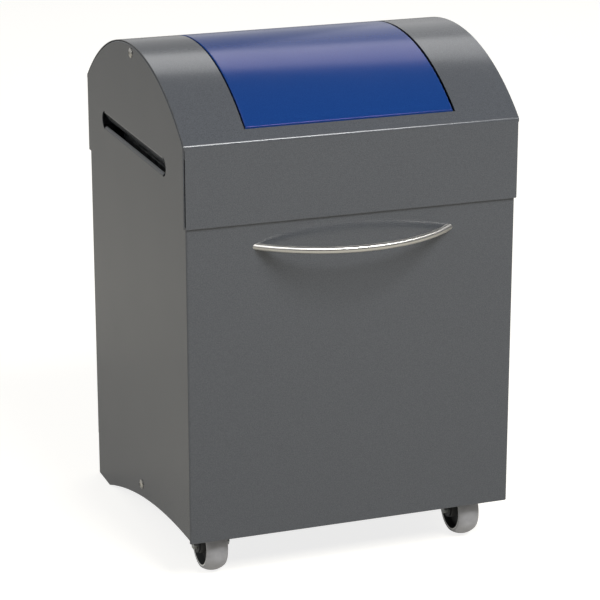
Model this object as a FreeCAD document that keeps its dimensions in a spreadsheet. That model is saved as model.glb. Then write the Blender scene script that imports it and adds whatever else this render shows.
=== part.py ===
import FreeCAD, Part
import os
import re
from math import sqrt

import Sketcher
from FreeCAD import Vector

# Recycling bin of bent steel sheet: a body on two front wheels and two rear feet, an inner container,
# and a lift-off hood with a swing flap. Front is -Y, up is +Z, the floor is Z = 0.
# All sizes are in millimetres.
SIZES = {
    # Body: the front and both sides are one bent sheet
    "body_width": 480,
    "body_depth": 471,
    "body_sheet": 1.2,
    "body_bend": 3,
    "rim_height": 556,
    "rim_flange": 16,
    "rear_flange": 15,
    "panel_bottom": 66,
    "side_bottom": 71,
    "foot_length": 58,
    "foot_flange": 25,
    "front_hem": 12,
    "hem_bend": 0.9,
    "flange_gap": 0.5,
    # Floor panel and its two side screws
    "floor_height": 102,
    "floor_sheet": 1.5,
    "floor_flange": 18,
    "floor_tab_drop": 46,
    "floor_tab_length": 60,
    "floor_fit": 0.2,
    "floor_screw_height": 68,
    "floor_screw_diameter": 6,
    "floor_nut_diameter": 12,
    "floor_nut_length": 9,
    # Round screw heads that show outside
    "head_diameter": 14,
    "head_height": 3,
    "head_edge": 1,
    "socket_flats": 4,
    "socket_depth": 1.6,
    "hole_clearance": 0.25,
    # Bow handle on the front
    "handle_height": 486.5,
    "handle_span": 278,
    "handle_reach": 56,
    "handle_diameter": 10,
    "handle_headroom": 12,
    "handle_screw_diameter": 4,
    "handle_screw_inset": 4,
    "handle_screw_grip": 6.5,
    "handle_head_diameter": 8,
    "handle_head_height": 2.8,
    "washer_diameter": 10,
    "washer_thickness": 1,
    # Wheels
    "wheel_diameter": 80,
    "wheel_width": 32,
    "wheel_inset": 47.5,
    "wheel_setback": 60,
    "tyre_depth": 7,
    "tyre_crown": 5.5,
    "hub_rim": 2.5,
    "hub_rim_inset": 0.5,
    "hub_web": 10,
    "hub_boss_diameter": 28,
    "hub_end_play": 0.5,
    "sleeve_diameter": 12,
    "running_clearance": 0.08,
    "bolt_diameter": 8,
    "bolt_flats": 13,
    "bolt_head_height": 5.3,
    "bolt_nut_height": 6.5,
    # Wheel brackets, folded sheet
    "bracket_sheet": 2.5,
    "wheel_side_gap": 2,
    "bracket_width": 74,
    "bracket_length": 80,
    "leg_end_radius": 13,
    "leg_spread": 25,
    "castor_screw_diameter": 6,
    "castor_head_diameter": 11,
    "castor_head_height": 3.5,
    "castor_nut_flats": 10,
    "castor_nut_height": 5,
    "castor_holes_across": 56,
    "castor_holes_along": 60,
    # Inner container
    "liner_width": 396,
    "liner_height": 448,
    "liner_sheet": 0.8,
    "liner_corner": 20,
    "liner_base": 12,
    "liner_rim": 5,
    "liner_rim_height": 8,
    "liner_rim_round": 2.5,
    "liner_slot_length": 110,
    "liner_slot_height": 28,
    "liner_slot_drop": 50,
    # Hood
    "overall_height": 725.5,
    "hood_sheet": 1.2,
    "hood_overhang": 3,
    "hood_bottom": 520,
    "fold_height": 633.5,
    "fold_bend": 5,
    "cover_inset": 0.8,
    "skirt_inset": 1.2,
    "opening_width": 306,
    "opening_length": 445,
    "side_flange": 14,
    "side_flange_bottom": 616,
    "side_bend": 2.2,
    "hood_seam": 0.6,
    "slot_length": 315,
    "slot_height": 27,
    "slot_middle": 584.5,
    "lip_bend": 5,
    "upper_lip_angle": 30,
    "upper_lip_length": 13.5,
    "lower_lip_angle": 60,
    "lower_lip_length": 1,
    "ledge_width": 20,
    "ledge_height": 13,
    "ledge_length": 360,
    "seat_gap": 0.3,
    # Flap and its axle
    "axle_depth": 12.5,
    "axle_diameter": 8,
    "axle_screw_diameter": 5,
    "axle_screw_grip": 12,
    "collar_diameter": 16,
    "collar_width": 8,
    "collar_gap": 0.4,
    "flap_sheet": 1.2,
    "flap_gap": 2.8,
    "flap_end_gap": 2.5,
    "flap_lip": 6,
    "bush_clearance": 0.3,
    "flap_bend": 1.2,
    "cheek_fit": 0.1,
    "cheek_sheet": 2,
    "cheek_drop": 18,
    "bush_diameter": 12,
    "bush_flange_diameter": 16,
    "bush_flange_thickness": 1.5,
    "bush_length": 10,
}

# Formulas that several pieces share
HALF_WIDTH = "(body_width / 2)"
HALF_DEPTH = "(body_depth / 2)"
INNER_WIDTH = f"({HALF_WIDTH} - body_sheet)"
FRONT_INSIDE = f"(-{HALF_DEPTH} + body_sheet)"
BACK_INSIDE = f"({HALF_DEPTH} - body_sheet)"
FLANGE_INSIDE = f"({HALF_DEPTH} - 2 * body_sheet)"
FOOT_START = f"({HALF_DEPTH} - foot_length)"
FLOOR_TOP = "(floor_height + floor_sheet)"
FLOOR_HALF_WIDTH = f"({INNER_WIDTH} - floor_fit)"
# The hood's lower edge, which stays clear above the handle
HOOD_BOTTOM = "max(hood_bottom; handle_height + handle_diameter / 2 + handle_headroom)"
HOOD_HALF_WIDTH = f"({HALF_WIDTH} + hood_overhang)"
HOOD_HALF_DEPTH = f"({HALF_DEPTH} + hood_overhang)"
ARCH_RISE = "(overall_height - fold_height)"
ARCH_RADIUS = f"(({HOOD_HALF_DEPTH} ^ 2 + {ARCH_RISE} ^ 2) / (2 * {ARCH_RISE}))"
ARCH_CENTRE = f"(overall_height - {ARCH_RADIUS})"
AXLE_HEIGHT = "(overall_height - axle_depth)"
FLAP_HALF_WIDTH = "(opening_width / 2 - flap_gap)"
FLAP_HALF_LENGTH = "(opening_length / 2 - flap_end_gap)"
# The flap's side lips, which end above its bushes
SIDE_LIP = "min(flap_lip; axle_depth - bush_diameter / 2 - bush_clearance)"
SLOT_STRAIGHT = "(slot_length - slot_height)"
SLOT_TOP = "(slot_middle + slot_height / 2)"
SLOT_BOTTOM = "(slot_middle - slot_height / 2)"
HANDLE_RADIUS = "((handle_span ^ 2 / 4 + handle_reach ^ 2) / (2 * handle_reach))"
HANDLE_SCREW_X = "(handle_span / 2 - handle_screw_inset)"
WHEEL_RADIUS = "(wheel_diameter / 2)"
WHEEL_X = f"({HALF_WIDTH} - wheel_inset)"
WHEEL_Y = f"(-{HALF_DEPTH} + wheel_setback)"
LEG_INSIDE = "(wheel_width / 2 + wheel_side_gap)"
LEG_OUTSIDE = f"({LEG_INSIDE} + bracket_sheet)"
TYRE_SEAT = f"({WHEEL_RADIUS} - tyre_depth)"
BRACKET_TOP = f"(floor_height - {WHEEL_RADIUS})"
BRACKET_UNDERSIDE = f"({BRACKET_TOP} - bracket_sheet)"
# Brings the middle of the overall box, from the handle's front to the hood's back, to Y = 0
CENTRE_SHIFT = "((handle_reach + handle_diameter / 2 - hood_overhang) / 2)"
# Longer than the body is wide or deep, for cuts right through it
THROUGH = "(2 * (body_width + body_depth))"

# Lengths closer than this count as equal when edges are looked up
TOLERANCE = 0.01

LEFT_TURN = 1
RIGHT_TURN = -1
SIDES = {"left": -1, "right": 1}

doc = FreeCAD.newDocument("recycling_bin")
sheet = doc.addObject("Spreadsheet::Sheet", "Sizes")
parts = []


def fill_sheet():
    """Writes each driving size into a cell of the sheet, with its name as the alias."""
    for row, (name, size) in enumerate(SIZES.items(), 1):
        sheet.set(f"A{row}", name)
        sheet.set(f"B{row}", str(size))
        sheet.setAlias(f"B{row}", name)
    doc.recompute()


def formula(text):
    """Turns a formula in the sheet's names into an expression of the document."""
    return re.sub(r"[a-z_]+", lambda word: ("Sizes." if word[0] in SIZES else "") + word[0], str(text))


def value(text):
    """The present value of a formula."""
    return float(sheet.evalExpression(formula(text)))


def bind(item, **formulas):
    """Binds properties of an object to formulas; a double underscore stands for a dot."""
    for name, text in formulas.items():
        item.setExpression(name.replace("__", "."), formula(text))


def new_body(label, x=0, y=0, z=0):
    """An empty body whose own origin lies at x, y, z of the bin, Y counted from mid-depth."""
    body = doc.addObject("PartDesign::Body", label)
    body.Label = label
    bind(body, Placement__Base__x=x, Placement__Base__y=f"{y} + {CENTRE_SHIFT}", Placement__Base__z=z)
    return body


def new_part(label, x=0, y=0, z=0):
    """A body that is a sub-part by itself."""
    body = new_body(label, x, y, z)
    parts.append(body)
    return body


def origin(body, role):
    """One of the body's own origin planes or axes."""
    return next(item for item in body.Origin.OriginFeatures if item.Role == role)


def new_sketch(body, plane, offset=0):
    """An empty sketch on an origin plane of the body, moved along the plane's normal."""
    sketch = body.newObject("Sketcher::SketchObject", body.Name + "_sketch")
    sketch.AttachmentSupport = [(origin(body, plane), "")]
    sketch.MapMode = "FlatFace"
    bind(sketch, AttachmentOffset__Base__z=offset)
    return sketch


def hold(sketch, kind, text, *geometry):
    """Adds a dimension to a sketch and binds it to a formula."""
    index = sketch.addConstraint(Sketcher.Constraint(kind, *geometry, value(text)))
    name = f"size{index}"
    sketch.renameConstraint(index, name)
    sketch.setExpression(f"Constraints.{name}", formula(text))


def arc_between(start, finish, radius, turn):
    """An arc under a half circle from start to finish, turning left or right on the way."""
    chord = finish - start
    outward = Vector(chord.y, -chord.x, 0).normalize() * turn
    rise = radius - sqrt(radius ** 2 - chord.Length ** 2 / 4)
    middle = (start + finish) / 2 + outward * rise
    if turn == LEFT_TURN:
        return Part.Arc(start, middle, finish)
    return Part.Arc(finish, middle, start)


def draw_outline(sketch, points):
    """Adds a closed outline. A point is (x, y), or (x, y, radius, turn) where an arc leads to it."""
    spots = [Vector(value(point[0]), value(point[1]), 0) for point in points]
    first = sketch.GeometryCount
    count = len(points)
    ends = []
    for index in range(count):
        following = points[(index + 1) % count]
        start, finish = spots[index], spots[(index + 1) % count]
        if len(following) == 2:
            sketch.addGeometry(Part.LineSegment(start, finish), False)
            ends.append((1, 2))
        else:
            radius, turn = following[2:]
            sketch.addGeometry(arc_between(start, finish, value(radius), turn), False)
            ends.append((1, 2) if turn == LEFT_TURN else (2, 1))
    for index, point in enumerate(points):
        edge = first + index
        before = first + (index - 1) % count
        start = ends[index][0]
        sketch.addConstraint(Sketcher.Constraint("Coincident", before, ends[index - 1][1], edge, start))
        hold(sketch, "DistanceX", point[0], -1, 1, edge, start)
        hold(sketch, "DistanceY", point[1], -1, 1, edge, start)
        if len(point) > 2:
            hold(sketch, "Radius", point[2], before)


def draw_circle(sketch, x, y, radius):
    """Adds a circle to a sketch."""
    shape = Part.Circle(Vector(value(x), value(y), 0), Vector(0, 0, 1), value(radius))
    circle = sketch.addGeometry(shape, False)
    hold(sketch, "DistanceX", x, -1, 1, circle, 3)
    hold(sketch, "DistanceY", y, -1, 1, circle, 3)
    hold(sketch, "Radius", radius, circle)


def rectangle(x_low, x_high, y_low, y_high):
    """The four points of an upright rectangle."""
    return [(x_low, y_low), (x_high, y_low), (x_high, y_high), (x_low, y_high)]


def rounded_rectangle(x, y, half_x, half_y, radius):
    """A rectangle about x, y with four round corners."""
    left, right = f"{x} - ({half_x})", f"{x} + ({half_x})"
    low, high = f"{y} - ({half_y})", f"{y} + ({half_y})"
    radius = f"({radius})"
    return [
        (f"{right} - {radius}", low),
        (right, f"{low} + {radius}", radius, LEFT_TURN),
        (right, f"{high} - {radius}"),
        (f"{right} - {radius}", high, radius, LEFT_TURN),
        (f"{left} + {radius}", high),
        (left, f"{high} - {radius}", radius, LEFT_TURN),
        (left, f"{low} + {radius}"),
        (f"{left} + {radius}", low, radius, LEFT_TURN),
    ]


def obround(x, y, length, height):
    """A slot along the sketch's X with half round ends, each drawn as two quarter arcs."""
    radius = f"({height}) / 2"
    inner_left, inner_right = f"{x} - ({length} - {height}) / 2", f"{x} + ({length} - {height}) / 2"
    low, high = f"{y} - {radius}", f"{y} + {radius}"
    return [
        (inner_right, low),
        (f"{inner_right} + {radius}", y, radius, LEFT_TURN),
        (inner_right, high, radius, LEFT_TURN),
        (inner_left, high),
        (f"{inner_left} - {radius}", y, radius, LEFT_TURN),
        (inner_left, low, radius, LEFT_TURN),
    ]


def hexagon(across_flats):
    """A hexagon about the sketch's origin, with two flats along X."""
    apothem = f"({across_flats}) / 2"
    corner = f"({across_flats}) / sqrt(3)"
    return [
        (f"{corner} / 2", f"-{apothem}"),
        (corner, 0),
        (f"{corner} / 2", apothem),
        (f"-{corner} / 2", apothem),
        (f"-{corner}", 0),
        (f"-{corner} / 2", f"-{apothem}"),
    ]


def profile(body, plane, outlines, offset=0):
    """A sketch with one or more closed outlines."""
    sketch = new_sketch(body, plane, offset)
    for points in outlines:
        draw_outline(sketch, points)
    return sketch


def circles(body, plane, centres, radius, offset=0):
    """A sketch with circles of one radius."""
    sketch = new_sketch(body, plane, offset)
    for x, y in centres:
        draw_circle(sketch, x, y, radius)
    return sketch


def extrude(body, kind, sketch, length, both=False, reverse=False):
    """A pad or pocket of the sketch, to one side or evenly to both."""
    feature = body.newObject(f"PartDesign::{kind}", body.Name + "_" + kind.lower())
    feature.Profile = sketch
    feature.SideType = "Symmetric" if both else "One side"
    feature.Reversed = reverse
    bind(feature, Length=length)
    return feature


def pad(body, sketch, length, both=False, reverse=False):
    """Adds the sketch's outline with a thickness, along the sketch's normal or reversed."""
    return extrude(body, "Pad", sketch, length, both, reverse)


def pocket(body, sketch, length=THROUGH, both=False, reverse=False):
    """Cuts the sketch's outline away, against the sketch's normal or reversed."""
    return extrude(body, "Pocket", sketch, length, both, reverse)


def revolve(body, sketch, axis, angle=360, both=False):
    """Turns the sketch about an origin axis of the body."""
    feature = body.newObject("PartDesign::Revolution", body.Name + "_revolution")
    feature.Profile = sketch
    feature.ReferenceAxis = (origin(body, axis), [""])
    feature.Midplane = both
    bind(feature, Angle=angle)
    return feature


def mirror_across_width(body, features):
    """Repeats features on the other side of the body's middle."""
    feature = body.newObject("PartDesign::Mirrored", body.Name + "_mirrored")
    feature.Originals = features
    feature.MirrorPlane = (origin(body, "YZ_Plane"), [""])
    body.Tip = feature


def fillet(body, radius, wanted):
    """Rounds those edges of the body so far that the function wanted accepts."""
    doc.recompute()
    base = body.Tip
    names = [f"Edge{index}" for index, edge in enumerate(base.Shape.Edges, 1) if wanted(edge)]
    feature = body.newObject("PartDesign::Fillet", body.Name + "_fillet")
    feature.Base = (base, names)
    bind(feature, Radius=radius)


def along_width(y, z):
    """A test for edges that run along X at one of the heights z and at a distance y from mid-depth."""
    def test(edge):
        box = edge.BoundBox
        straight = max(box.YLength, box.ZLength) < TOLERANCE
        return straight and max(abs(abs(box.YMin) - value(y)), abs(box.ZMin - value(z))) < TOLERANCE
    return test


def group(label, members):
    """Several equal solids as one sub-part."""
    compound = doc.addObject("Part::Compound", label)
    compound.Label = label
    compound.Links = members
    parts.append(compound)


def round_head_screws(label, face, height, shank_diameter, length):
    """A pair of screws along X, one on each side, with a low dome head and a six-sided socket."""
    body = new_part(label, z=height)
    dome_rise = "(head_height - head_edge)"
    dome_radius = f"((head_diameter ^ 2 / 4 + {dome_rise} ^ 2) / (2 * {dome_rise}))"
    half = profile(body, "XY_Plane", [[
        (f"-{face} - head_height", 0),
        (f"-{face} - head_edge", "head_diameter / 2", dome_radius, RIGHT_TURN),
        (f"-{face}", "head_diameter / 2"),
        (f"-{face}", f"{shank_diameter} / 2"),
        (f"-{face} + {length}", f"{shank_diameter} / 2"),
        (f"-{face} + {length}", 0),
    ]])
    screw = revolve(body, half, "X_Axis")
    socket = profile(body, "YZ_Plane", [hexagon("socket_flats")], f"-{face} - head_height")
    recess = pocket(body, socket, "socket_depth", reverse=True)
    mirror_across_width(body, [screw, recess])


def ring_pair(label, height, low, high, inner, outer):
    """A pair of rings about an X axis at mid-depth, from low to high on the left and mirrored."""
    body = new_part(label, z=height)
    half = profile(body, "XY_Plane", [rectangle(f"-({high})", f"-({low})", inner, outer)])
    mirror_across_width(body, [revolve(body, half, "X_Axis")])


def floor_screw_holes(body):
    """The clearance holes of the two floor screws, one behind the other along X."""
    return circles(body, "YZ_Plane", [(0, "floor_screw_height")], "floor_screw_diameter / 2 + hole_clearance")


def make_body_wrap():
    """Front and both sides: one sheet bent at the front corners, flanged at the back and the rim."""
    body = new_part("body_wrap")
    inner_bend = "body_bend - body_sheet"
    section = profile(body, "XY_Plane", [[
        (f"-{HALF_WIDTH}", BACK_INSIDE),
        (f"-{HALF_WIDTH}", f"-{HALF_DEPTH} + body_bend"),
        (f"-{HALF_WIDTH} + body_bend", f"-{HALF_DEPTH}", "body_bend", LEFT_TURN),
        (f"{HALF_WIDTH} - body_bend", f"-{HALF_DEPTH}"),
        (HALF_WIDTH, f"-{HALF_DEPTH} + body_bend", "body_bend", LEFT_TURN),
        (HALF_WIDTH, BACK_INSIDE),
        (f"{HALF_WIDTH} - rear_flange", BACK_INSIDE),
        (f"{HALF_WIDTH} - rear_flange", FLANGE_INSIDE),
        (INNER_WIDTH, FLANGE_INSIDE),
        (INNER_WIDTH, f"-{HALF_DEPTH} + body_bend"),
        (f"{HALF_WIDTH} - body_bend", FRONT_INSIDE, inner_bend, RIGHT_TURN),
        (f"-{HALF_WIDTH} + body_bend", FRONT_INSIDE),
        (f"-{INNER_WIDTH}", f"-{HALF_DEPTH} + body_bend", inner_bend, RIGHT_TURN),
        (f"-{INNER_WIDTH}", FLANGE_INSIDE),
        (f"-{HALF_WIDTH} + rear_flange", FLANGE_INSIDE),
        (f"-{HALF_WIDTH} + rear_flange", BACK_INSIDE),
    ]])
    pad(body, section, "rim_height")

    # The lower edge: straight under the front, then an arch down to the rear foot on each side
    arch_front = f"(-{HALF_DEPTH} + body_bend)"
    arch_run = f"({FOOT_START} - {arch_front})"
    below = f"-{FOOT_START}"
    lower_edge = profile(body, "YZ_Plane", [[
        (f"-{HALF_DEPTH} - body_bend", below),
        (FOOT_START, below),
        (FOOT_START, 0),
        (arch_front, "side_bottom", f"({arch_run} ^ 2 + side_bottom ^ 2) / (2 * side_bottom)", LEFT_TURN),
        (arch_front, "panel_bottom"),
        (f"-{HALF_DEPTH} - body_bend", "panel_bottom"),
    ]])
    pocket(body, lower_edge, both=True)

    feet = [rectangle(f"{side} * {INNER_WIDTH}", f"{side} * ({INNER_WIDTH} - foot_flange)",
                      FOOT_START, FLANGE_INSIDE) for side in SIDES.values()]
    pad(body, profile(body, "XY_Plane", feet), "body_sheet")

    hem_end = f"({FLOOR_HALF_WIDTH} - floor_sheet - flange_gap)"
    hem = rectangle(f"-{hem_end}", hem_end, FRONT_INSIDE, f"{FRONT_INSIDE} + front_hem")
    pad(body, profile(body, "XY_Plane", [hem], "panel_bottom"), "body_sheet")

    rim_inside = f"({INNER_WIDTH} - rim_flange)"
    rim = [
        (f"-{INNER_WIDTH}", BACK_INSIDE),
        (f"-{INNER_WIDTH}", FRONT_INSIDE),
        (INNER_WIDTH, FRONT_INSIDE),
        (INNER_WIDTH, BACK_INSIDE),
        (rim_inside, BACK_INSIDE),
        (rim_inside, f"{FRONT_INSIDE} + rim_flange"),
        (f"-{rim_inside}", f"{FRONT_INSIDE} + rim_flange"),
        (f"-{rim_inside}", BACK_INSIDE),
    ]
    pad(body, profile(body, "XY_Plane", [rim], "rim_height - body_sheet"), "body_sheet")
    fillet(body, "hem_bend", along_width(HALF_DEPTH, "panel_bottom"))

    pocket(body, floor_screw_holes(body), both=True)
    handle_spots = [(f"{side} * {HANDLE_SCREW_X}", "handle_height") for side in SIDES.values()]
    handle_holes = circles(body, "XZ_Plane", handle_spots, "handle_screw_diameter / 2 + hole_clearance")
    pocket(body, handle_holes, both=True)


def make_back_panel():
    """Flat sheet behind the side flanges, with its own rim flange between those of the sides."""
    body = new_part("back_panel")
    plate = rectangle(f"-{HALF_WIDTH}", HALF_WIDTH, BACK_INSIDE, HALF_DEPTH)
    pad(body, profile(body, "XY_Plane", [plate], "panel_bottom"), "rim_height - panel_bottom")
    rim_end = f"({INNER_WIDTH} - rim_flange - flange_gap)"
    rim = rectangle(f"-{rim_end}", rim_end, f"{BACK_INSIDE} - rim_flange", BACK_INSIDE)
    pad(body, profile(body, "XY_Plane", [rim], "rim_height - body_sheet"), "body_sheet")


def castor_spots(wheel_x, wheel_y):
    """The four screw places of the wheel bracket whose wheel is at wheel_x, wheel_y."""
    return [(f"{wheel_x} + {x} * castor_holes_across / 2", f"{wheel_y} + {y} * castor_holes_along / 2")
            for x in (-1, 1) for y in (-1, 1)]


def make_floor_panel():
    """Sheet that carries the container and the wheels, flanged down each side, with a screw tab."""
    body = new_part("floor_panel")
    inner = f"({FLOOR_HALF_WIDTH} - floor_sheet)"
    lower = "(floor_height - floor_tab_drop)"
    section = [
        (f"-{FLOOR_HALF_WIDTH}", lower),
        (f"-{inner}", lower),
        (f"-{inner}", "floor_height"),
        (inner, "floor_height"),
        (inner, lower),
        (FLOOR_HALF_WIDTH, lower),
        (FLOOR_HALF_WIDTH, FLOOR_TOP),
        (f"-{FLOOR_HALF_WIDTH}", FLOOR_TOP),
    ]
    rear = f"({FLANGE_INSIDE} - floor_fit)"
    front = f"(-{HALF_DEPTH} + body_bend + floor_fit)"
    pad(body, profile(body, "XZ_Plane", [section], f"-{rear}"), f"{rear} - {front}")
    flange_edge = "(floor_height - floor_flange)"
    beside_tab = [rectangle(f"{end} * floor_tab_length / 2", f"{end} * {HALF_DEPTH}", lower, flange_edge)
                  for end in (-1, 1)]
    pocket(body, profile(body, "YZ_Plane", beside_tab), both=True)
    pocket(body, floor_screw_holes(body), both=True)
    spots = [spot for side in SIDES.values() for spot in castor_spots(f"{side} * {WHEEL_X}", WHEEL_Y)]
    castor_holes = circles(body, "XY_Plane", spots, "castor_screw_diameter / 2 + hole_clearance", FLOOR_TOP)
    pocket(body, castor_holes, "2 * floor_sheet")


def make_floor_fixings():
    """Side screws through the body and the floor's flanges, into round nuts inside."""
    nut_start = f"({FLOOR_HALF_WIDTH} - floor_sheet)"
    grip = f"({HALF_WIDTH} - {nut_start} + floor_nut_length)"
    round_head_screws("floor_screws", HALF_WIDTH, "floor_screw_height", "floor_screw_diameter", grip)
    ring_pair("floor_screw_nuts", "floor_screw_height", f"{nut_start} - floor_nut_length", nut_start,
              "floor_screw_diameter / 2", "floor_nut_diameter / 2")


def make_handle():
    """A round rod bent to an arc in a level plane, its ends cut flat where they meet the front."""
    body = new_part("handle_bow", y=f"-{HALF_DEPTH} - handle_reach + {HANDLE_RADIUS}", z="handle_height")
    rod = circles(body, "YZ_Plane", [(f"-{HANDLE_RADIUS}", 0)], "handle_diameter / 2")
    panel = f"({HANDLE_RADIUS} - handle_reach)"
    past_panel = f"2 * acos(({panel} - handle_diameter) / {HANDLE_RADIUS})"
    revolve(body, rod, "Z_Axis", past_panel, both=True)
    behind = rectangle("-handle_span", "handle_span", "-handle_diameter", "handle_diameter")
    pocket(body, profile(body, "XZ_Plane", [behind], panel), "handle_reach")
    bores = circles(body, "XZ_Plane", [(f"{side} * {HANDLE_SCREW_X}", 0) for side in SIDES.values()],
                    "handle_screw_diameter / 2", panel)
    pocket(body, bores, "handle_screw_grip", reverse=True)


def make_handle_fixings():
    """Screws with washers from inside the front into the handle's ends."""
    screws, washers = [], []
    head_start = "(body_sheet + washer_thickness)"
    for name, side in SIDES.items():
        place = dict(x=f"{side} * {HANDLE_SCREW_X}", y=f"-{HALF_DEPTH}", z="handle_height")
        screw = new_body(f"{name}_handle_screw", **place)
        half = [
            (0, "-handle_screw_grip"),
            ("handle_screw_diameter / 2", "-handle_screw_grip"),
            ("handle_screw_diameter / 2", head_start),
            ("handle_head_diameter / 2", head_start),
            ("handle_head_diameter / 2", f"{head_start} + handle_head_height"),
            (0, f"{head_start} + handle_head_height"),
        ]
        revolve(screw, profile(screw, "XY_Plane", [half]), "Y_Axis")
        screws.append(screw)
        washer = new_body(f"{name}_handle_washer", **place)
        ring = rectangle("handle_screw_diameter / 2", "washer_diameter / 2", "body_sheet", head_start)
        revolve(washer, profile(washer, "XY_Plane", [ring]), "Y_Axis")
        washers.append(washer)
    group("handle_screws", screws)
    group("handle_washers", washers)


def make_wheel_bracket(name, place):
    """Folded bracket: a plate under the floor and two tapered legs for the axle."""
    body = new_part(f"{name}_wheel_bracket", **place)
    legs = [
        ("-leg_spread", BRACKET_TOP),
        ("-leg_end_radius", 0),
        (0, "-leg_end_radius", "leg_end_radius", LEFT_TURN),
        ("leg_end_radius", 0, "leg_end_radius", LEFT_TURN),
        ("leg_spread", BRACKET_TOP),
    ]
    pad(body, profile(body, "YZ_Plane", [legs]), f"2 * {LEG_OUTSIDE}", both=True)
    wheel_space = rectangle("-wheel_diameter", "wheel_diameter", "-wheel_diameter", BRACKET_UNDERSIDE)
    pocket(body, profile(body, "YZ_Plane", [wheel_space]), f"2 * {LEG_INSIDE}", both=True)
    plate = rectangle("-bracket_width / 2", "bracket_width / 2", "-bracket_length / 2", "bracket_length / 2")
    pad(body, profile(body, "XY_Plane", [plate], BRACKET_UNDERSIDE), "bracket_sheet")
    castor_hole = "castor_screw_diameter / 2 + hole_clearance"
    pocket(body, circles(body, "XY_Plane", castor_spots(0, 0), castor_hole, BRACKET_TOP), "2 * bracket_sheet")
    pocket(body, circles(body, "YZ_Plane", [(0, 0)], "bolt_diameter / 2"), f"3 * {LEG_OUTSIDE}", both=True)


def make_wheel_axle(name, place, side):
    """A bolt through the legs, with its nut and the sleeve that the hub turns on."""
    bolt = new_part(f"{name}_axle_bolt", **place)
    head = profile(bolt, "YZ_Plane", [hexagon("bolt_flats")], f"{side} * {LEG_OUTSIDE}")
    pad(bolt, head, "bolt_head_height", reverse=side < 0)
    shank = circles(bolt, "YZ_Plane", [(0, 0)], "bolt_diameter / 2", f"{side} * {LEG_OUTSIDE}")
    pad(bolt, shank, f"2 * {LEG_OUTSIDE} + bolt_nut_height", reverse=side > 0)

    nut = new_part(f"{name}_axle_nut", **place)
    ring = profile(nut, "YZ_Plane", [hexagon("bolt_flats")], f"{-side} * {LEG_OUTSIDE}")
    draw_circle(ring, 0, 0, "bolt_diameter / 2")
    pad(nut, ring, "bolt_nut_height", reverse=side > 0)

    sleeve = new_part(f"{name}_bearing_sleeve", **place)
    tube = circles(sleeve, "YZ_Plane", [(0, 0)], "sleeve_diameter / 2")
    draw_circle(tube, 0, 0, "bolt_diameter / 2")
    pad(sleeve, tube, f"2 * {LEG_INSIDE}", both=True)


def make_wheel(name, place):
    """Hub with a web set back between rim and boss, and a soft tyre with a crowned tread."""
    hub = new_part(f"{name}_wheel_hub", **place)
    bore = "(sleeve_diameter / 2 + running_clearance)"
    boss_end = f"({LEG_INSIDE} - hub_end_play)"
    rim_end = "(wheel_width / 2 - hub_rim_inset)"
    rim_inside = f"({TYRE_SEAT} - hub_rim)"
    boss = "(hub_boss_diameter / 2)"
    half = [
        (f"-{boss_end}", bore),
        (boss_end, bore),
        (boss_end, boss),
        ("hub_web / 2", boss),
        ("hub_web / 2", rim_inside),
        (rim_end, rim_inside),
        (rim_end, TYRE_SEAT),
        (f"-{rim_end}", TYRE_SEAT),
        (f"-{rim_end}", rim_inside),
        ("-hub_web / 2", rim_inside),
        ("-hub_web / 2", boss),
        (f"-{boss_end}", boss),
    ]
    revolve(hub, profile(hub, "XY_Plane", [half]), "X_Axis")

    tyre = new_part(f"{name}_wheel_tyre", **place)
    flank = f"({WHEEL_RADIUS} - tyre_crown)"
    crown_radius = "((wheel_width ^ 2 / 4 + tyre_crown ^ 2) / (2 * tyre_crown))"
    half = [
        ("-wheel_width / 2", TYRE_SEAT),
        ("wheel_width / 2", TYRE_SEAT),
        ("wheel_width / 2", flank),
        ("-wheel_width / 2", flank, crown_radius, LEFT_TURN),
    ]
    revolve(tyre, profile(tyre, "XY_Plane", [half]), "X_Axis")


def make_castors():
    """The two wheels with their brackets and axles."""
    for name, side in SIDES.items():
        place = dict(x=f"{side} * {WHEEL_X}", y=WHEEL_Y, z=WHEEL_RADIUS)
        make_wheel_bracket(name, place)
        make_wheel_axle(name, place, side)
        make_wheel(name, place)


def make_castor_fixings():
    """Screws down through the floor and the bracket plates, with nuts below."""
    screws, nuts = [], []
    grip = "(floor_sheet + bracket_sheet + castor_nut_height)"
    for side in SIDES.values():
        for x, y in castor_spots(f"{side} * {WHEEL_X}", WHEEL_Y):
            screw = new_body("castor_screw", x, y, FLOOR_TOP)
            half = [
                (0, f"-{grip}"),
                ("castor_screw_diameter / 2", f"-{grip}"),
                ("castor_screw_diameter / 2", 0),
                ("castor_head_diameter / 2", 0),
                ("castor_head_diameter / 2", "castor_head_height"),
                (0, "castor_head_height"),
            ]
            revolve(screw, profile(screw, "XZ_Plane", [half]), "Z_Axis")
            screws.append(screw)
            nut = new_body("castor_nut", x, y, "floor_height - bracket_sheet - castor_nut_height")
            ring = profile(nut, "XY_Plane", [hexagon("castor_nut_flats")])
            draw_circle(ring, 0, 0, "castor_screw_diameter / 2")
            pad(nut, ring, "castor_nut_height")
            nuts.append(nut)
    group("castor_screws", screws)
    group("castor_nuts", nuts)


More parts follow.
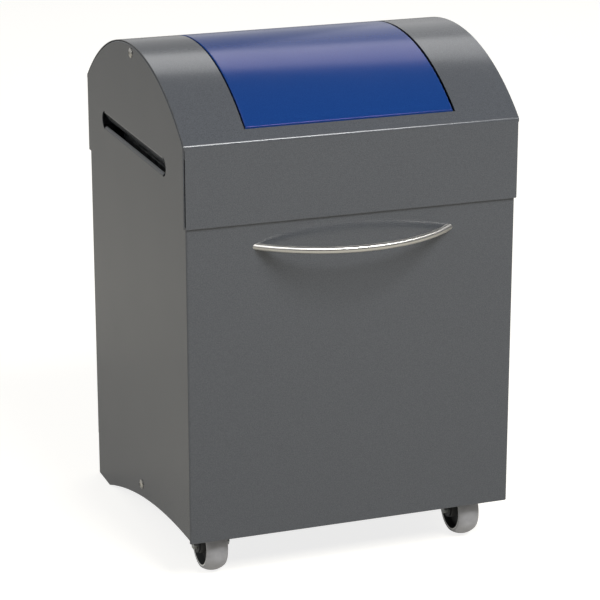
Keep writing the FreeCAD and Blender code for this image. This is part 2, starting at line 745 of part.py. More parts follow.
def make_inner_container():
    """Open sheet container on a raised base, with a thick rim and a hand slot in each side."""
    body = new_part("inner_container", z=FLOOR_TOP)

    def outline(growth):
        half = f"liner_width / 2 + {growth}"
        return [rounded_rectangle(0, 0, half, half, f"liner_corner + {growth}")]

    inner = outline("-liner_sheet")
    pad(body, profile(body, "XY_Plane", outline(0)), "liner_height")
    rim = profile(body, "XY_Plane", outline("liner_rim"), "liner_height - liner_rim_height")
    pad(body, rim, "liner_rim_height")
    rim_reach = value("liner_width / 2 + liner_rim")

    def rim_edge(edge):
        box = edge.BoundBox
        on_rim = max(abs(box.XMin), abs(box.XMax), abs(box.YMin), abs(box.YMax)) > rim_reach - TOLERANCE
        return on_rim and box.ZLength < TOLERANCE

    fillet(body, "liner_rim_round", rim_edge)
    pocket(body, profile(body, "XY_Plane", inner, "liner_height"), "liner_height - liner_base - liner_sheet")
    pocket(body, profile(body, "XY_Plane", inner), "liner_base", reverse=True)
    slot = obround(0, "liner_height - liner_slot_drop", "liner_slot_length", "liner_slot_height")
    pocket(body, profile(body, "YZ_Plane", [slot]), both=True)


def arched_section(half_length, bottom, thickness):
    """Section of a sheet that follows the hood's arch and turns down at both ends."""
    inner = f"({half_length} - {thickness})"
    inner_radius = f"({ARCH_RADIUS} - {thickness})"
    outer_fold = f"({ARCH_CENTRE} + sqrt({ARCH_RADIUS} ^ 2 - {half_length} ^ 2))"
    inner_fold = f"({ARCH_CENTRE} + sqrt({inner_radius} ^ 2 - {inner} ^ 2))"
    points = [
        (f"-{half_length}", bottom),
        (f"-{inner}", bottom),
        (f"-{inner}", inner_fold),
        (inner, inner_fold, inner_radius, RIGHT_TURN),
        (inner, bottom),
        (half_length, bottom),
        (half_length, outer_fold),
        (f"-{half_length}", outer_fold, ARCH_RADIUS, LEFT_TURN),
    ]
    return points, inner, inner_fold, outer_fold


def make_hood_cover():
    """One sheet over the hood: two skirts, and a slightly wider arch with the flap's opening."""
    body = new_part("hood_cover")
    points, inner, inner_fold, outer_fold = arched_section(HOOD_HALF_DEPTH, HOOD_BOTTOM, "hood_sheet")
    arch_edge = f"({HOOD_HALF_WIDTH} - cover_inset)"
    pad(body, profile(body, "YZ_Plane", [points]), f"2 * {arch_edge}", both=True)
    fillet(body, "fold_bend", along_width(HOOD_HALF_DEPTH, outer_fold))
    fillet(body, "fold_bend - hood_sheet", along_width(inner, inner_fold))
    skirt_edge = f"({arch_edge} - skirt_inset)"
    skirt_top = "(fold_height - fold_bend)"
    below = f"({HOOD_BOTTOM} - skirt_inset)"
    beside_skirts = [rectangle(f"{side} * {skirt_edge}", f"{side} * {HOOD_HALF_WIDTH}", below, skirt_top)
                     for side in SIDES.values()]
    pocket(body, profile(body, "XZ_Plane", beside_skirts), both=True)
    opening = rectangle("-opening_width / 2", "opening_width / 2",
                        "-opening_length / 2", "opening_length / 2")
    pocket(body, profile(body, "XY_Plane", [opening], "fold_height"), ARCH_RISE, reverse=True)


def make_hood_side(name, side):
    """Plate flanged inside the cover, its bend beside the cover's edge, with a grip slot between two lips."""
    body = new_part(f"hood_{name}_side")
    leftward = side < 0
    face = f"{side} * {HOOD_HALF_WIDTH}"

    def arch(depth_inset, bottom):
        half = f"({HOOD_HALF_DEPTH} - {depth_inset})"
        radius = f"({ARCH_RADIUS} - {depth_inset})"
        fold = f"({ARCH_CENTRE} + sqrt({radius} ^ 2 - {half} ^ 2))"
        outline = [(f"-{half}", bottom), (half, bottom), (half, fold), (f"-{half}", fold, radius, LEFT_TURN)]
        return outline, half, fold

    edge_inset = "(hood_sheet + hood_seam)"
    plate, half, fold = arch(edge_inset, HOOD_BOTTOM)
    pad(body, profile(body, "YZ_Plane", [plate], face), "side_flange", reverse=not leftward)
    fillet(body, "fold_bend - hood_sheet", along_width(half, fold))

    def outer_edge(edge):
        box = edge.BoundBox
        on_face = max(box.XLength, abs(box.XMin - value(face))) < TOLERANCE
        return on_face and box.ZMax > value(HOOD_BOTTOM) + TOLERANCE

    fillet(body, "side_bend", outer_edge)
    hollow = arch("(2 * hood_sheet + hood_seam)", "side_flange_bottom")[0]
    inside = f"{side} * ({HOOD_HALF_WIDTH} - hood_sheet)"
    pocket(body, profile(body, "YZ_Plane", [hollow], inside), "side_flange", reverse=leftward)
    below_flange = rectangle(f"-{HOOD_HALF_DEPTH}", HOOD_HALF_DEPTH,
                             f"{HOOD_BOTTOM} - side_flange", "side_flange_bottom")
    pocket(body, profile(body, "YZ_Plane", [below_flange], inside), "side_flange", reverse=leftward)

    slot = obround(0, "slot_middle", "slot_length", "slot_height")
    pocket(body, profile(body, "YZ_Plane", [slot]), both=True)

    def lip(edge, start, upward, turn):
        across = f"sin({edge}_lip_angle * 1deg)"
        along = f"cos({edge}_lip_angle * 1deg)"

        def point(depth, rise):
            return f"{face} - {side} * ({depth})", f"{start} + {upward} * ({rise})"

        bend_depth = f"lip_bend * (1 - {along})"
        bend_rise = f"lip_bend * {across}"
        end_depth = f"{bend_depth} + {edge}_lip_length * {across}"
        end_rise = f"{bend_rise} + {edge}_lip_length * {along}"
        outline = [
            (face, start),
            (*point(bend_depth, bend_rise), "lip_bend", turn),
            point(end_depth, end_rise),
            point(f"{end_depth} + hood_sheet * {along}", f"{end_rise} - hood_sheet * {across}"),
            point(f"{bend_depth} + hood_sheet * {along}", f"{bend_rise} - hood_sheet * {across}"),
            (inside, start, "lip_bend - hood_sheet", -turn),
        ]
        pad(body, profile(body, "XZ_Plane", [outline]), SLOT_STRAIGHT, both=True)

    inward = LEFT_TURN if leftward else RIGHT_TURN
    lip("upper", SLOT_TOP, -1, inward)
    lip("lower", SLOT_BOTTOM, 1, -inward)
    screw_hole = circles(body, "YZ_Plane", [(0, AXLE_HEIGHT)], "axle_screw_diameter / 2 + hole_clearance")
    pocket(body, screw_hole, both=True)


def make_hood_ledge(name, side):
    """Angle inside the hood's side; it rests on the body's rim flange."""
    body = new_part(f"hood_{name}_ledge")
    wall = f"{side} * ({HOOD_HALF_WIDTH} - hood_sheet)"
    seat = "(rim_height + seat_gap)"
    section = [
        (wall, seat),
        (f"{wall} - {side} * ledge_width", seat),
        (f"{wall} - {side} * ledge_width", f"{seat} + hood_sheet"),
        (f"{wall} - {side} * hood_sheet", f"{seat} + hood_sheet"),
        (f"{wall} - {side} * hood_sheet", f"{seat} + ledge_height"),
        (wall, f"{seat} + ledge_height"),
    ]
    pad(body, profile(body, "XZ_Plane", [section]), "ledge_length", both=True)


def make_flap_axle():
    """Rod across the hood just under the crest, bored at both ends for its screws."""
    body = new_part("flap_axle", z=AXLE_HEIGHT)
    end = f"({HOOD_HALF_WIDTH} - hood_sheet)"
    bore_end = f"({end} - axle_screw_grip)"
    half = [
        (f"-{end}", "axle_screw_diameter / 2"),
        (f"-{bore_end}", "axle_screw_diameter / 2"),
        (f"-{bore_end}", 0),
        (bore_end, 0),
        (bore_end, "axle_screw_diameter / 2"),
        (end, "axle_screw_diameter / 2"),
        (end, "axle_diameter / 2"),
        (f"-{end}", "axle_diameter / 2"),
    ]
    revolve(body, profile(body, "XY_Plane", [half]), "X_Axis")
    round_head_screws("axle_end_screws", HOOD_HALF_WIDTH, AXLE_HEIGHT, "axle_screw_diameter",
                      "(hood_sheet + axle_screw_grip)")
    collar_start = f"({FLAP_HALF_WIDTH} + bush_flange_thickness + collar_gap)"
    ring_pair("axle_collars", AXLE_HEIGHT, collar_start, f"{collar_start} + collar_width",
              "axle_diameter / 2", "collar_diameter / 2")


def make_flap():
    """Arched flap flush with the hood, turned down all round, with a cheek and a bush inside each side."""
    flap = new_part("flap_panel")
    fold = f"({ARCH_CENTRE} + sqrt({ARCH_RADIUS} ^ 2 - {FLAP_HALF_LENGTH} ^ 2))"
    lip_bottom = f"({fold} - flap_lip)"
    points = arched_section(FLAP_HALF_LENGTH, lip_bottom, "flap_sheet")[0]
    pad(flap, profile(flap, "YZ_Plane", [points]), f"2 * {FLAP_HALF_WIDTH}", both=True)
    side_lip = arched_section(FLAP_HALF_LENGTH, lip_bottom, SIDE_LIP)[0]
    for side in SIDES.values():
        pad(flap, profile(flap, "YZ_Plane", [side_lip], f"{side} * {FLAP_HALF_WIDTH}"), "flap_sheet",
            reverse=side > 0)
    front_or_rear = along_width(FLAP_HALF_LENGTH, fold)

    def outer_edge(edge):
        box = edge.BoundBox
        on_side = max(box.XLength, abs(abs(box.XMin) - value(FLAP_HALF_WIDTH))) < TOLERANCE
        return front_or_rear(edge) or on_side and box.ZMax > value("overall_height") - TOLERANCE

    fillet(flap, "flap_bend", outer_edge)

    for name, side in SIDES.items():
        cheek = new_part(f"flap_{name}_cheek")
        radius = f"({ARCH_RADIUS} - flap_sheet - cheek_fit)"
        lower = f"({AXLE_HEIGHT} - cheek_drop)"
        half_chord = f"sqrt({radius} ^ 2 - ({lower} - {ARCH_CENTRE}) ^ 2)"
        segment = [(half_chord, lower), (f"-{half_chord}", lower, radius, LEFT_TURN)]
        cheek_face = f"{side} * ({FLAP_HALF_WIDTH} - flap_sheet - cheek_fit)"
        plate = profile(cheek, "YZ_Plane", [segment], cheek_face)
        draw_circle(plate, 0, AXLE_HEIGHT, "bush_diameter / 2")
        pad(cheek, plate, "cheek_sheet", reverse=side > 0)

    bush = new_part("flap_bushes", z=AXLE_HEIGHT)
    bore = "(axle_diameter / 2 + running_clearance)"
    flange_end = f"(-{FLAP_HALF_WIDTH} - bush_flange_thickness)"
    half = [
        (flange_end, bore),
        (f"{flange_end} + bush_length", bore),
        (f"{flange_end} + bush_length", "bush_diameter / 2"),
        (f"-{FLAP_HALF_WIDTH}", "bush_diameter / 2"),
        (f"-{FLAP_HALF_WIDTH}", "bush_flange_diameter / 2"),
        (flange_end, "bush_flange_diameter / 2"),
    ]
    mirror_across_width(bush, [revolve(bush, profile(bush, "XY_Plane", [half]), "X_Axis")])


def check_and_write():
    """Stops on any failed object, empty cut or bad shape, then writes each sub-part's file."""
    doc.recompute()
    for item in doc.Objects:
        if "Invalid" in item.State or "Error" in item.State:
            raise RuntimeError(f"{item.Name} failed: {item.State}")
        if item.TypeId == "PartDesign::Pocket" and item.Shape.Volume >= item.BaseFeature.Shape.Volume:
            raise RuntimeError(f"{item.Name} cuts nothing")
    for part in parts:
        if part.Shape.isNull() or not part.Shape.isValid() or not part.Shape.Solids:
            raise RuntimeError(f"{part.Label} has no valid solid")
    os.makedirs("parts", exist_ok=True)
    for part in parts:
        part.Shape.exportStep(f"parts/{part.Label}.step")
        box = part.Shape.BoundBox
        spans = [f"{low:.1f} to {high:.1f}" for low, high in
                 ((box.XMin, box.XMax), (box.YMin, box.YMax), (box.ZMin, box.ZMax))]
        print(f"{part.Label}: {len(part.Shape.Solids)} solids, {part.Shape.Volume:.0f} mm3,", *spans)


fill_sheet()
make_body_wrap()
make_back_panel()
make_floor_panel()
make_floor_fixings()
make_handle()
make_handle_fixings()
make_castors()
make_castor_fixings()
make_inner_container()
make_hood_cover()
for side_name, side_sign in SIDES.items():
    make_hood_side(side_name, side_sign)
    make_hood_ledge(side_name, side_sign)
make_flap_axle()
make_flap()
check_and_write()
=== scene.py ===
from math import asin, cos, pi, radians, sin

import bmesh
import bpy
from mathutils import Matrix, Vector


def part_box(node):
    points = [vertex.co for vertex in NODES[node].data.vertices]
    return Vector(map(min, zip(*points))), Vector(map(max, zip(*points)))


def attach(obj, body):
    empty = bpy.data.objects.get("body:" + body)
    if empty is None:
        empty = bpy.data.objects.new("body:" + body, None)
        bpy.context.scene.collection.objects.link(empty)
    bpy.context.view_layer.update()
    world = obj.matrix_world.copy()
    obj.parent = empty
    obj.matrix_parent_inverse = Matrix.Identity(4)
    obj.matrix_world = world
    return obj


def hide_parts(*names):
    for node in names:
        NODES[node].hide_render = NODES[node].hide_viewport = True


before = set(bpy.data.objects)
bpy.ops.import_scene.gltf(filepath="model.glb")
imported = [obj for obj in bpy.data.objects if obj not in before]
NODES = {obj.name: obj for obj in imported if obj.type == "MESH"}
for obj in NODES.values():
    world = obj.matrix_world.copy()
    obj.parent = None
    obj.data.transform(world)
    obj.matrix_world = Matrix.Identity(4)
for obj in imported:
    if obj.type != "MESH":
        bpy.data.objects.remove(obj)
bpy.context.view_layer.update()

MM = 0.001


def linear(hex_colour):
    """An sRGB hex colour as linear red, green, blue and alpha."""
    shares = [int(hex_colour[start:start + 2], 16) / 255 for start in (1, 3, 5)]
    return [s / 12.92 if s <= 0.04045 else ((s + 0.055) / 1.055) ** 2.4 for s in shares] + [1.0]


def add_node(tree, kind, inputs=None, **settings):
    """Adds a shader node with its settings; an input takes a value, or a socket to link from."""
    node = tree.nodes.new(kind)
    for name, setting in settings.items():
        setattr(node, name, setting)
    for socket, source in (inputs or {}).items():
        if isinstance(source, bpy.types.NodeSocket):
            tree.links.new(source, node.inputs[socket])
        else:
            node.inputs[socket].default_value = source
    return node


def new_finish(name, plain):
    """A material with its node tree and surface shader, and plain values set on the shader's sockets."""
    material = bpy.data.materials.new(name)
    material.use_nodes = True
    tree = material.node_tree
    shader = tree.nodes["Principled BSDF"]
    for socket, setting in plain.items():
        shader.inputs[socket].default_value = setting
    return material, tree, shader


def soft_spots(tree, coords, size, detail=2.0):
    """Soft random spots of about the given size, in the units of coords, as a share from 0 to 1."""
    noise = add_node(tree, "ShaderNodeTexNoise", {"Vector": coords, "Scale": 1 / size, "Detail": detail})
    # Noise keeps near its middle, so that part is stretched over the whole share
    ends = {"Value": noise.outputs[0], "From Min": 0.3, "From Max": 0.7}
    return add_node(tree, "ShaderNodeMapRange", ends).outputs[0]


def vary(tree, shader, share, tones=None, roughness=None):
    """Lets a share choose a colour between two tones, a roughness between two ends, or both."""
    if tones:
        # On a colour mix, inputs 6 and 7 are its two colours and output 2 is the mixed one
        ends = {0: share, 6: linear(tones[0]), 7: linear(tones[1])}
        colour = add_node(tree, "ShaderNodeMix", ends, data_type="RGBA")
        tree.links.new(colour.outputs[2], shader.inputs["Base Color"])
    if roughness:
        ends = {"Value": share, "To Min": roughness[0], "To Max": roughness[1]}
        dullness = add_node(tree, "ShaderNodeMapRange", ends)
        tree.links.new(dullness.outputs[0], shader.inputs["Roughness"])


def ripple(tree, shader, coords, size, depth):
    """Raises and lowers the surface by about the given depth, in spots of about the given size, in metres."""
    height = add_node(tree, "ShaderNodeTexNoise", {"Vector": coords, "Scale": 1 / size, "Detail": 2.0})
    bump = add_node(tree, "ShaderNodeBump", {"Height": height.outputs[0], "Strength": 1.0, "Distance": depth})
    tree.links.new(bump.outputs[0], shader.inputs["Normal"])


def powder_coat(name, tones, roughness, ior, gloss):
    """Epoxy-polyester powder, sprayed on steel sheet and baked: an even semi-gloss colour with a fine
    darker and lighter grain, and a slight ripple that softens what it mirrors."""
    material, tree, shader = new_finish(name, {"IOR": ior, "Specular Tint": linear(gloss)})
    coords = add_node(tree, "ShaderNodeTexCoord").outputs["Object"]
    # Powder grains are about 0.05 mm; they are drawn coarser so that they show
    vary(tree, shader, soft_spots(tree, coords, 1.3 * MM), tones=tones)
    vary(tree, shader, soft_spots(tree, coords, 90 * MM), roughness=roughness)
    ripple(tree, shader, coords, 2.5 * MM, 0.012 * MM)
    return material


def ground_stainless(name, centre, radius):
    """Stainless rod, bent about a centre and ground all round: fine rings that draw light out along it."""
    material, tree, shader = new_finish(name, {"Metallic": 1.0, "Anisotropic": 0.9})
    coords = add_node(tree, "ShaderNodeTexCoord").outputs["Object"]
    local = add_node(tree, "ShaderNodeMapping", {"Vector": coords, "Location": -centre}).outputs[0]
    along = add_node(tree, "ShaderNodeVectorMath", {0: (0, 0, 1), 1: local}, operation="CROSS_PRODUCT")
    tree.links.new(along.outputs[0], shader.inputs["Tangent"])
    axes = add_node(tree, "ShaderNodeSeparateXYZ", {0: local}).outputs
    angle = add_node(tree, "ShaderNodeMath", {0: axes[0], 1: axes[1]}, operation="ARCTAN2").outputs[0]
    around = add_node(tree, "ShaderNodeCombineXYZ", {0: angle}).outputs[0]
    # Grinding rings are about 0.1 mm apart; they are drawn coarser so that they show
    rings = soft_spots(tree, around, 0.8 * MM / radius, 3.0)
    vary(tree, shader, rings, ("#CBC9C4", "#DAD8D3"), (0.33, 0.37))
    return material


def plated_steel(name, tones, roughness, patch):
    """Turned, folded or rolled steel with a metal skin: a shine in faint cloudy patches."""
    material, tree, shader = new_finish(name, {"Metallic": 1.0})
    coords = add_node(tree, "ShaderNodeTexCoord").outputs["Object"]
    vary(tree, shader, soft_spots(tree, coords, patch), tones, roughness)
    ripple(tree, shader, coords, 0.8 * MM, 0.004 * MM)
    return material


def galvanised_sheet(name):
    """Hot-dip galvanised steel sheet: zinc crystals a finger wide, each with its own grey and shine."""
    material, tree, shader = new_finish(name, {"Metallic": 1.0})
    coords = add_node(tree, "ShaderNodeTexCoord").outputs["Object"]
    crystals = add_node(tree, "ShaderNodeTexVoronoi", {"Vector": coords, "Scale": 1 / (14 * MM)})
    shade = add_node(tree, "ShaderNodeSeparateColor", {0: crystals.outputs["Color"]}).outputs[0]
    vary(tree, shader, shade, ("#A3A8AB", "#C3C7C8"), (0.34, 0.5))
    ripple(tree, shader, coords, 4 * MM, 0.01 * MM)
    return material


def moulded(name, tones, roughness, grain, depth):
    """Moulded plastic or rubber: a dull even skin with the fine grain of the mould."""
    material, tree, shader = new_finish(name, {"IOR": 1.5})
    coords = add_node(tree, "ShaderNodeTexCoord").outputs["Object"]
    vary(tree, shader, soft_spots(tree, coords, 12 * MM, 4.0), tones, roughness)
    # Mould grain is about 0.1 mm; it is drawn coarser so that it shows
    ripple(tree, shader, coords, grain, depth)
    return material


def hub_with_painted_dish_shade(name, tones, centre, edge):
    """Polypropylene hub: a pale rim, its own colour, that starts at the edge's radius, round a dish coloured
    dark as painted shade of its recess, both with a slightly uneven shine."""
    material, tree, shader = new_finish(name, {"IOR": 1.5})
    coords = add_node(tree, "ShaderNodeTexCoord").outputs["Object"]
    off_axis = {"Vector": coords, "Location": (0, -centre.y, -centre.z), "Scale": (0, 1, 1)}
    across = add_node(tree, "ShaderNodeMapping", off_axis).outputs[0]
    radius = add_node(tree, "ShaderNodeVectorMath", {0: across}, operation="LENGTH").outputs["Value"]
    # Inside the edge's radius the hub takes the dark tone, painted shade of the recessed dish
    ends = {"Value": radius, "From Min": edge, "From Max": edge + 0.3 * MM}
    vary(tree, shader, add_node(tree, "ShaderNodeMapRange", ends).outputs[0], tones=tones)
    vary(tree, shader, soft_spots(tree, coords, 12 * MM, 4.0), roughness=(0.4, 0.55))
    ripple(tree, shader, coords, 0.6 * MM, 0.01 * MM)
    return material


# Points this near to each other are merged
MERGE_DISTANCE = 0.01 * MM
# Points this near to a cutting plane lie on it
CUT_DISTANCE = 0.001 * MM
# An edge that turns by more than this stays sharp on a piece with smooth shading
SHARP_TURN = radians(40)


def new_section(points):
    """A bmesh with one face, the section of a turned piece, from points along and away from X."""
    shape = bmesh.new()
    shape.faces.new([shape.verts.new((along, 0, away)) for along, away in points])
    return shape


def round_corners(shape, radius, segments, wanted=lambda corner: True):
    """Rounds those corners of the section that the function wanted accepts."""
    corners = [corner for corner in shape.verts if wanted(corner.co)]
    bmesh.ops.bevel(shape, geom=corners, offset=radius, offset_type="OFFSET", segments=segments,
                    profile=0.5, affect="VERTICES", material=-1)


def turn(shape, centre, steps):
    """Turns the section about the X axis into a closed ring, and moves it to its centre."""
    bmesh.ops.delete(shape, geom=shape.faces[:], context="FACES_ONLY")
    bmesh.ops.spin(shape, geom=shape.verts[:] + shape.edges[:], cent=(0, 0, 0), axis=(1, 0, 0),
                   angle=2 * pi, steps=steps, use_merge=True)
    bmesh.ops.remove_doubles(shape, verts=shape.verts[:], dist=MERGE_DISTANCE)
    bmesh.ops.recalc_face_normals(shape, faces=shape.faces[:])
    bmesh.ops.translate(shape, verts=shape.verts[:], vec=centre)


def add_piece(name, shape, material, body, slot, *nodes):
    """Makes the shape a piece of the object that rides on a body and stands for the given nodes."""
    mesh = bpy.data.meshes.new(name)
    shape.to_mesh(mesh)
    shape.free()
    mesh.shade_smooth()
    mesh.set_sharp_from_angle(angle=SHARP_TURN)
    mesh.materials.append(material)
    piece = bpy.data.objects.new(name, mesh)
    bpy.context.scene.collection.objects.link(piece)
    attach(piece, body)
    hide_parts(*nodes)


# Finishes, and the CAD pieces that have them
anthracite = powder_coat("powder_coated_steel_anthracite", ("#414347", "#515458"), (0.17, 0.21), 1.5,
                         "#FFFFFF")
blue = powder_coat("powder_coated_steel_blue", ("#0C2F66", "#143972"), (0.16, 0.2), 1.4, "#F0B4FF")
screw_steel = plated_steel("turned_stainless_steel", ("#D2D0CA", "#BDBBB5"), (0.22, 0.34), 3 * MM)
zinc = plated_steel("zinc_plated_steel", ("#C2C5C7", "#A9ACA6"), (0.28, 0.42), 6 * MM)
bracket_steel = plated_steel("black_passivated_zinc_steel", ("#5A5B5C", "#47484A"), (0.35, 0.5), 6 * MM)
galvanised = galvanised_sheet("hot_dip_galvanised_steel")
tyre_rubber = moulded("moulded_grey_rubber", ("#A6A6A9", "#98989B"), (0.5, 0.6), 0.9 * MM, 0.02 * MM)
bush_plastic = moulded("moulded_acetal", ("#DCDAD3", "#D0CEC6"), (0.35, 0.45), 0.8 * MM, 0.006 * MM)

FINISHES = {
    anthracite: ["body_wrap", "back_panel", "floor_panel", "hood_cover", "hood_left_side", "hood_right_side",
                 "hood_left_ledge", "hood_right_ledge"],
    blue: ["flap_panel", "flap_left_cheek", "flap_right_cheek"],
    screw_steel: ["floor_screws", "axle_end_screws", "flap_axle"],
    bracket_steel: ["left_wheel_bracket", "right_wheel_bracket"],
    zinc: ["floor_screw_nuts", "handle_screws", "handle_washers", "castor_screws", "castor_nuts",
           "axle_collars", "left_axle_bolt", "left_axle_nut", "left_bearing_sleeve", "right_axle_bolt",
           "right_axle_nut", "right_bearing_sleeve"],
    galvanised: ["inner_container"],
    bush_plastic: ["flap_bushes"],
}
for finish, names in FINISHES.items():
    for name in names:
        for slot in NODES[name].material_slots:
            slot.material = finish

# Bow handle: a round rod bent to an arc, cut off flat where it meets the front
HANDLE_SPAN = 278 * MM
ROD_SIDES = 32
ROD_STEPS = 96
# The arc is first swept past the front at both ends, and then cut
HALF_SWEEP = radians(50)
rod_low, rod_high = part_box("handle_bow")
rod_radius = (rod_high.z - rod_low.z) / 2
panel_face = rod_high.y
handle_reach = panel_face - rod_low.y - rod_radius
bend_radius = (HANDLE_SPAN ** 2 / 4 + handle_reach ** 2) / (2 * handle_reach)
bend_centre = Vector((0, rod_low.y + rod_radius + bend_radius, rod_low.z + rod_radius))
upright = Matrix.Rotation(radians(90), 4, "Y")
to_start = Matrix.Rotation(-HALF_SWEEP, 4, "Z") @ Matrix.Translation((0, -bend_radius, 0))
start_section = Matrix.Translation(bend_centre) @ to_start @ upright
rod = bmesh.new()
bmesh.ops.create_circle(rod, segments=ROD_SIDES, radius=rod_radius, matrix=start_section)
bmesh.ops.spin(rod, geom=rod.verts[:] + rod.edges[:], cent=bend_centre, axis=(0, 0, 1),
               angle=2 * HALF_SWEEP, steps=ROD_STEPS)
bmesh.ops.bisect_plane(rod, geom=rod.verts[:] + rod.edges[:] + rod.faces[:], dist=CUT_DISTANCE,
                       plane_co=(0, panel_face, 0), plane_no=(0, 1, 0), clear_outer=True)
bmesh.ops.holes_fill(rod, edges=[edge for edge in rod.edges if edge.is_boundary])
bmesh.ops.recalc_face_normals(rod, faces=rod.faces[:])
rod_steel = ground_stainless("ground_stainless_steel", bend_centre, bend_radius)
add_piece("bow_handle_rod", rod, rod_steel, "cabinet", "stainless", "handle_bow")

# Wheels: a soft tyre with a crowned tread on a hub whose web is set back from the rim
WHEEL_STEPS = 96
TYRE_CROWN = 5.5 * MM
CROWN_STEPS = 16
SHOULDER_ROUNDING = 1.2 * MM
SHOULDER_TOLERANCE = 0.1 * MM
HUB_RIM = 2.5 * MM
HUB_RIM_INSET = 0.5 * MM
HUB_WEB = 10 * MM
HUB_BOSS_RADIUS = 14 * MM
HUB_BORE_RADIUS = 6.08 * MM
HUB_ROUNDING = 0.7 * MM
ROUNDING_STEPS = 4
# The dark dish colour is painted shade that also takes in the rim's inner wall, so the pale ring starts just
# outside it
PALE_RING_INSET = 0.3 * MM
for side in ("left", "right"):
    body = f"{side}_wheel"
    low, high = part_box(f"{side}_wheel_tyre")
    centre = (low + high) / 2
    half_width = (high.x - low.x) / 2
    tyre_radius = (high.z - low.z) / 2
    hub_low, hub_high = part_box(f"{side}_wheel_hub")
    seat = (hub_high.z - hub_low.z) / 2
    boss_end = (hub_high.x - hub_low.x) / 2

    crown_radius = (half_width ** 2 + TYRE_CROWN ** 2) / (2 * TYRE_CROWN)
    crown_half_angle = asin(half_width / crown_radius)
    angles = [crown_half_angle * (1 - 2 * step / CROWN_STEPS) for step in range(CROWN_STEPS + 1)]
    tread = [(crown_radius * sin(angle), tyre_radius - crown_radius * (1 - cos(angle))) for angle in angles]
    tyre = new_section([(-half_width, seat), (half_width, seat)] + tread)
    shoulder = tyre_radius - TYRE_CROWN
    round_corners(tyre, SHOULDER_ROUNDING, ROUNDING_STEPS,
                  lambda corner: abs(corner.z - shoulder) < SHOULDER_TOLERANCE)
    turn(tyre, centre, WHEEL_STEPS)
    add_piece(f"{side}_wheel_soft_tyre", tyre, tyre_rubber, body, "grey_tyre", f"{side}_wheel_tyre")

    rim_end = half_width - HUB_RIM_INSET
    rim_inside = seat - HUB_RIM
    outer_half = [(boss_end, HUB_BORE_RADIUS), (boss_end, HUB_BOSS_RADIUS), (HUB_WEB / 2, HUB_BOSS_RADIUS),
                  (HUB_WEB / 2, rim_inside), (rim_end, rim_inside), (rim_end, seat)]
    hub = new_section(outer_half + [(-along, away) for along, away in reversed(outer_half)])
    round_corners(hub, HUB_ROUNDING, ROUNDING_STEPS)
    turn(hub, centre, WHEEL_STEPS)
    # The dark tone is painted shade of the recessed dish; the pale tone is the rim's own colour
    hub_finish_with_painted_shade = hub_with_painted_dish_shade(f"polypropylene_hub_painted_dish_shade_{side}", ("#3E3F3F", "#EAEAE6"), centre,
                               rim_inside + PALE_RING_INSET)
    add_piece(f"{side}_wheel_moulded_hub", hub, hub_finish_with_painted_shade, body, "wheel_plastic", f"{side}_wheel_hub")

# Floor: pale paint that looks white to the camera, mirrors weakly in the coat and lights the underside
FLOOR_REACH = 30
FLOOR_GLOW = 0.8
MIRRORED_SHARE = 0.25
BOUNCED_SHARE = 0.4
floor_shape = bmesh.new()
bmesh.ops.create_grid(floor_shape, x_segments=1, y_segments=1, size=FLOOR_REACH)
floor_mesh = bpy.data.meshes.new("floor")
floor_shape.to_mesh(floor_mesh)
floor_shape.free()
floor = bpy.data.objects.new("floor", floor_mesh)
bpy.context.scene.collection.objects.link(floor)
floor_look = {"Base Color": linear("#A5A196"), "Roughness": 0.9, "Emission Color": linear("#FFFFFF")}
floor_paint, floor_tree, floor_shader = new_finish("pale_floor_paint", floor_look)
rays = add_node(floor_tree, "ShaderNodeLightPath").outputs
seen = add_node(floor_tree, "ShaderNodeMath", {0: rays["Is Camera Ray"], 1: rays["Is Transmission Ray"]},
                operation="ADD").outputs[0]
mirrored = add_node(floor_tree, "ShaderNodeMath", {0: rays["Is Glossy Ray"], 1: MIRRORED_SHARE, 2: seen},
                    operation="MULTIPLY_ADD").outputs[0]
bounced = add_node(floor_tree, "ShaderNodeMath", {0: rays["Is Diffuse Ray"], 1: BOUNCED_SHARE, 2: mirrored},
                   operation="MULTIPLY_ADD").outputs[0]
glow = add_node(floor_tree, "ShaderNodeMath", {0: bounced, 1: FLOOR_GLOW}, operation="MULTIPLY").outputs[0]
floor_tree.links.new(glow, floor_shader.inputs["Emission Strength"])
floor_mesh.materials.append(floor_paint)

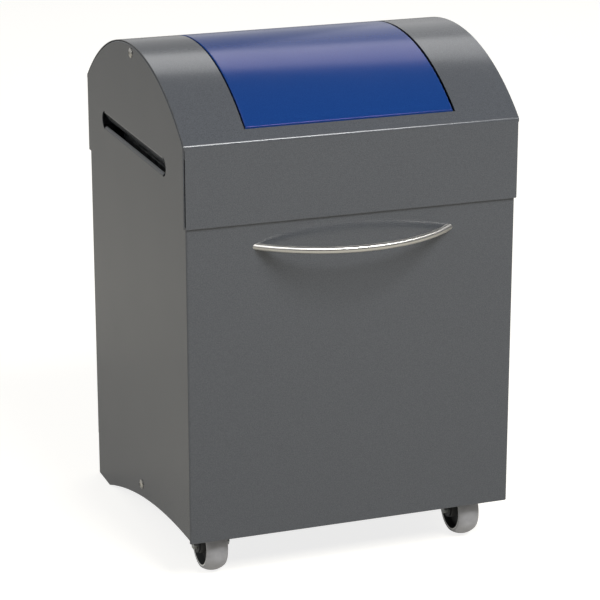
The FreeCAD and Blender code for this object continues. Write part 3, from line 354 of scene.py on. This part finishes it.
# Room: dimmer overhead than low down, and dim in front, which draws the dark line along the handle
world = bpy.data.worlds.new("studio")
world.use_nodes = True
room = world.node_tree
room.nodes["Background"].inputs["Color"].default_value = linear("#FFFFFF")
heading = add_node(room, "ShaderNodeTexCoord").outputs["Generated"]
axes = add_node(room, "ShaderNodeSeparateXYZ", {0: heading}).outputs
upward = {"Value": axes[2], "From Min": 0, "From Max": 0.6, "To Min": 0.68, "To Max": 0.15}
rearward = {"Value": axes[1], "From Min": -0.4, "From Max": 0.2, "To Min": 0.25, "To Max": 1.0}
low_light = add_node(room, "ShaderNodeMapRange", upward).outputs[0]
rear_light = add_node(room, "ShaderNodeMapRange", rearward).outputs[0]
room_light = add_node(room, "ShaderNodeMath", {0: low_light, 1: rear_light}, operation="MULTIPLY").outputs[0]
room.links.new(room_light, room.nodes["Background"].inputs["Strength"])
bpy.context.scene.world = world


def softbox(name, place, aim, width, height, brightness):
    """A soft rectangular lamp; brightness is its own, as seen from the object."""
    lamp = bpy.data.lights.new(name, "AREA")
    lamp.shape = "RECTANGLE"
    lamp.size = width
    lamp.size_y = height
    lamp.energy = brightness * pi * width * height
    box = bpy.data.objects.new(name, lamp)
    box.location = place
    box.rotation_euler = (Vector(aim) - Vector(place)).to_track_quat("-Z", "Y").to_euler()
    bpy.context.scene.collection.objects.link(box)


# Lamps: a key in front, a fill at the left, two behind that the arch and flap mirror, and one overhead
softbox("key_softbox", (0.8, -2.8, 3.4), (0, 0, 0.4), 1.7, 1.7, 20.3)
softbox("left_softbox", (-3.0, -1.4, 2.6), (0, 0, 0.4), 2.0, 2.0, 3.4)
softbox("rear_softbox", (2.3, 2.7, 3.9), (0, 0, 0.7), 5.0, 1.5, 1.95)
softbox("low_rear_softbox", (3.2, 3.2, 2.4), (0, 0, 0.7), 4.0, 1.9, 0.4)
softbox("overhead_softbox", (-0.9, -1.4, 4.2), (0, -0.2, 0.5), 5.0, 1.6, 0.9)

# Camera: its place and angles are solved from edges in the photograph
CAMERA_PLACE = (-1.1793, -3.2129, 1.4195)
CAMERA_YAW = radians(20.11)
CAMERA_PITCH = radians(17.59)
camera = bpy.data.cameras.new("camera")
camera.sensor_width = 36
camera.lens = 147.6
eye = bpy.data.objects.new("camera", camera)
eye.location = CAMERA_PLACE
eye.rotation_euler = (radians(90) - CAMERA_PITCH, 0, -CAMERA_YAW)
bpy.context.scene.collection.objects.link(eye)
bpy.context.scene.camera = eye
bpy.context.scene.view_settings.view_transform = "Standard"
